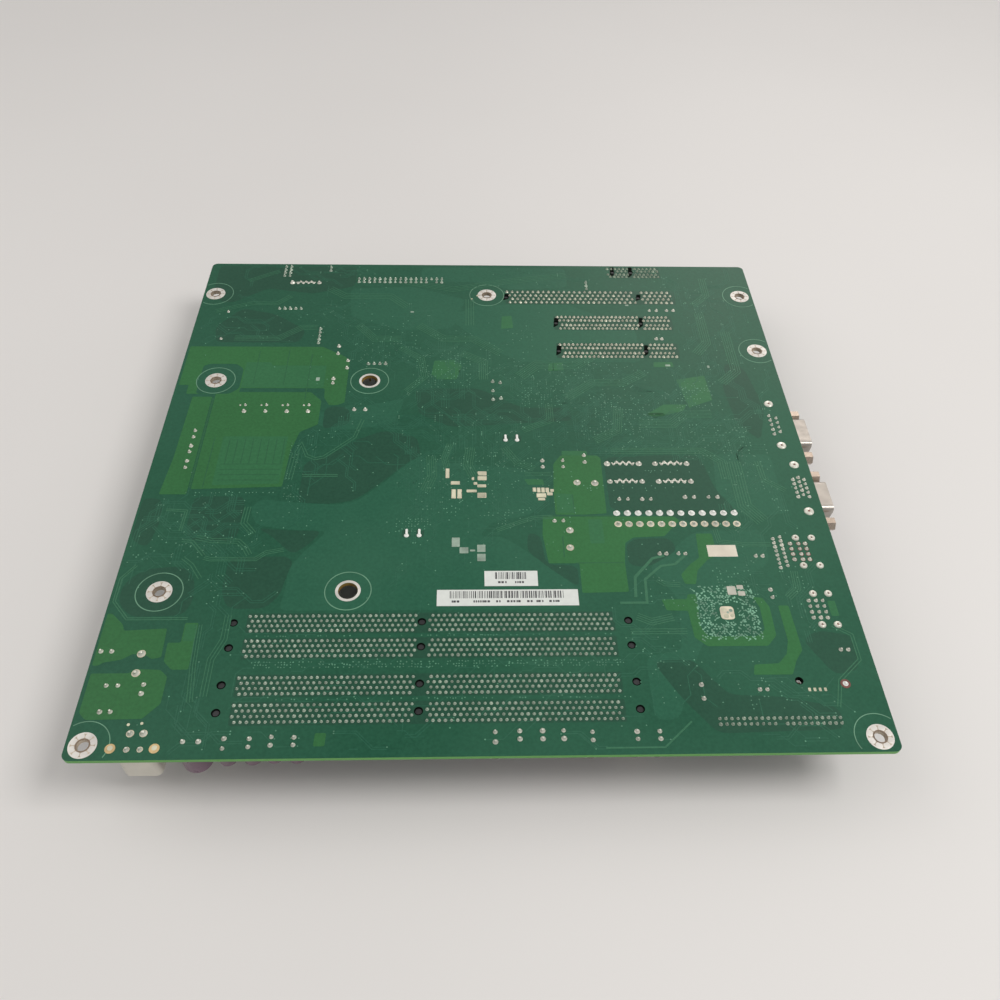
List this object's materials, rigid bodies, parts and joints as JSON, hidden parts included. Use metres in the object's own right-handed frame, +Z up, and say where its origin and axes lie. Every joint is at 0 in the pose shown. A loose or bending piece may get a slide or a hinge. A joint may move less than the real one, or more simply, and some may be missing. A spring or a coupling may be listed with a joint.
{
  "type": "motherboard",
  "caption": "Compact desktop computer motherboard lying solder side up on its tallest parts, with sockets, slots, ports and latches on the hidden side.",
  "frame": {"origin": "on the surface that the board lies on, at the middle of the object's length and width, cards and connectors down", "axes": "+X towards the rear edge with the D-shaped ports, +Y away from the memory sockets towards the expansion slots, +Z up, out of the solder side"},
  "size_m": [0.2736, 0.2642, 0.0287],
  "materials": {
    "solder_mask_green": "satin green solder mask over copper",
    "label_paper": "matt white label stock",
    "black_nylon": "fine moulded grain",
    "ivory_nylon": "fine moulded grain",
    "blue_plastic": "fine moulded grain",
    "socket_plastic": "fine moulded grain",
    "stamped_steel": "stamped, bright",
    "spring_wire": "drawn wire",
    "tinned_shell": "tin plated",
    "nickel": "nickel plated",
    "contact_gold": "gold flash",
    "heatsink_metal": "extruded",
    "chip_epoxy": "moulded epoxy",
    "chip_substrate": "package substrate",
    "ferrite": "pressed ferrite",
    "capacitor_sleeve": "shrunk sleeve",
    "copper_winding": "enamelled copper",
    "cell_steel": "turned steel"
  },
  "bodies": {
    "root": {"circuit_board": "solder_mask_green", "paper_labels": "label_paper", "cpu_socket_body": "socket_plastic", "cpu_socket_frame": "stamped_steel", "pci_slot": "ivory_nylon", "pcie_x8_slot_1": "black_nylon", "pcie_x8_slot_2": "black_nylon", "pcie_x1_slot": "black_nylon", "chipset_package": "chip_substrate", "chipset_heatsink": "heatsink_metal", "heatsink_clip": "spring_wire", "heatsink_anchors": "nickel", "southbridge_package": "chip_epoxy", "super_io_chip": "chip_epoxy", "network_chip": "chip_epoxy", "small_chips": "chip_epoxy", "crystal": "nickel", "main_power_connector": "ivory_nylon", "main_power_pins": "contact_gold", "cpu_power_connector": "ivory_nylon", "cpu_power_pins": "contact_gold", "processor_chokes": "ferrite", "processor_mosfets": "chip_epoxy", "filter_inductors": "copper_winding", "capacitor_cans": "capacitor_sleeve", "sata_ports": "black_nylon", "ribbon_header_shroud": "black_nylon", "ribbon_header_pins": "contact_gold", "panel_header_shroud": "ivory_nylon", "panel_header_pins": "contact_gold", "pin_header_bases": "black_nylon", "pin_header_pins": "contact_gold", "serial_port_shell": "tinned_shell", "serial_port_insert": "black_nylon", "vga_port_shell": "tinned_shell", "vga_port_insert": "blue_plastic", "jackscrews": "nickel", "lan_usb_shell": "tinned_shell", "lan_usb_insert": "black_nylon", "usb_stack_shell": "tinned_shell", "usb_stack_insert": "black_nylon", "battery_holder": "black_nylon", "dimm_socket_1": "black_nylon", "dimm_socket_2": "black_nylon", "dimm_socket_3": "black_nylon", "dimm_socket_4": "black_nylon"},
    "dimm_latch_1_front": {"dimm_latch_1_front": "ivory_nylon"},
    "dimm_latch_1_rear": {"dimm_latch_1_rear": "ivory_nylon"},
    "dimm_latch_2_front": {"dimm_latch_2_front": "ivory_nylon"},
    "dimm_latch_2_rear": {"dimm_latch_2_rear": "ivory_nylon"},
    "dimm_latch_3_front": {"dimm_latch_3_front": "ivory_nylon"},
    "dimm_latch_3_rear": {"dimm_latch_3_rear": "ivory_nylon"},
    "dimm_latch_4_front": {"dimm_latch_4_front": "ivory_nylon"},
    "dimm_latch_4_rear": {"dimm_latch_4_rear": "ivory_nylon"},
    "cpu_load_plate": {"cpu_load_plate": "stamped_steel"},
    "cpu_load_lever": {"cpu_load_lever": "spring_wire"},
    "battery_cell": {"battery_cell": "cell_steel"},
    "jumper_cap": {"jumper_cap": "blue_plastic"}
  },
  "joints": [
    {"name": "memory_latch_1_front", "type": "hinge", "parent": "root", "child": "dimm_latch_1_front", "pos_m": [-0.0933, -0.08138, 0.023], "axis": [0, 1, 0], "range_deg": [0, 35]},
    {"name": "memory_latch_1_rear", "type": "hinge", "parent": "root", "child": "dimm_latch_1_rear", "pos_m": [0.0486, -0.08138, 0.023], "axis": [0, -1, 0], "range_deg": [0, 35]},
    {"name": "memory_latch_2_front", "type": "hinge", "parent": "root", "child": "dimm_latch_2_front", "pos_m": [-0.0933, -0.09154, 0.023], "axis": [0, 1, 0], "range_deg": [0, 35]},
    {"name": "memory_latch_2_rear", "type": "hinge", "parent": "root", "child": "dimm_latch_2_rear", "pos_m": [0.0486, -0.09154, 0.023], "axis": [0, -1, 0], "range_deg": [0, 35]},
    {"name": "memory_latch_3_front", "type": "hinge", "parent": "root", "child": "dimm_latch_3_front", "pos_m": [-0.0933, -0.10588, 0.023], "axis": [0, 1, 0], "range_deg": [0, 35]},
    {"name": "memory_latch_3_rear", "type": "hinge", "parent": "root", "child": "dimm_latch_3_rear", "pos_m": [0.0486, -0.10588, 0.023], "axis": [0, -1, 0], "range_deg": [0, 35]},
    {"name": "memory_latch_4_front", "type": "hinge", "parent": "root", "child": "dimm_latch_4_front", "pos_m": [-0.0933, -0.11604, 0.023], "axis": [0, 1, 0], "range_deg": [0, 35]},
    {"name": "memory_latch_4_rear", "type": "hinge", "parent": "root", "child": "dimm_latch_4_rear", "pos_m": [0.0486, -0.11604, 0.023], "axis": [0, -1, 0], "range_deg": [0, 35]},
    {"name": "load_plate_hinge", "type": "hinge", "parent": "root", "child": "cpu_load_plate", "pos_m": [-0.0866, 0.01242, 0.0215], "axis": [1, 0, 0], "range_deg": [0, 100]},
    {"name": "load_lever_hinge", "type": "hinge", "parent": "root", "child": "cpu_load_lever", "pos_m": [-0.0866, -0.03618, 0.0236], "axis": [-1, 0, 0], "range_deg": [0, 110]},
    {"name": "battery_slide", "type": "slide", "parent": "root", "child": "battery_cell", "axis": [0, 0, -1], "range_m": [0, 0.008]},
    {"name": "jumper_slide", "type": "slide", "parent": "root", "child": "jumper_cap", "axis": [0, 0, -1], "range_m": [0, 0.0066]}
  ]
}
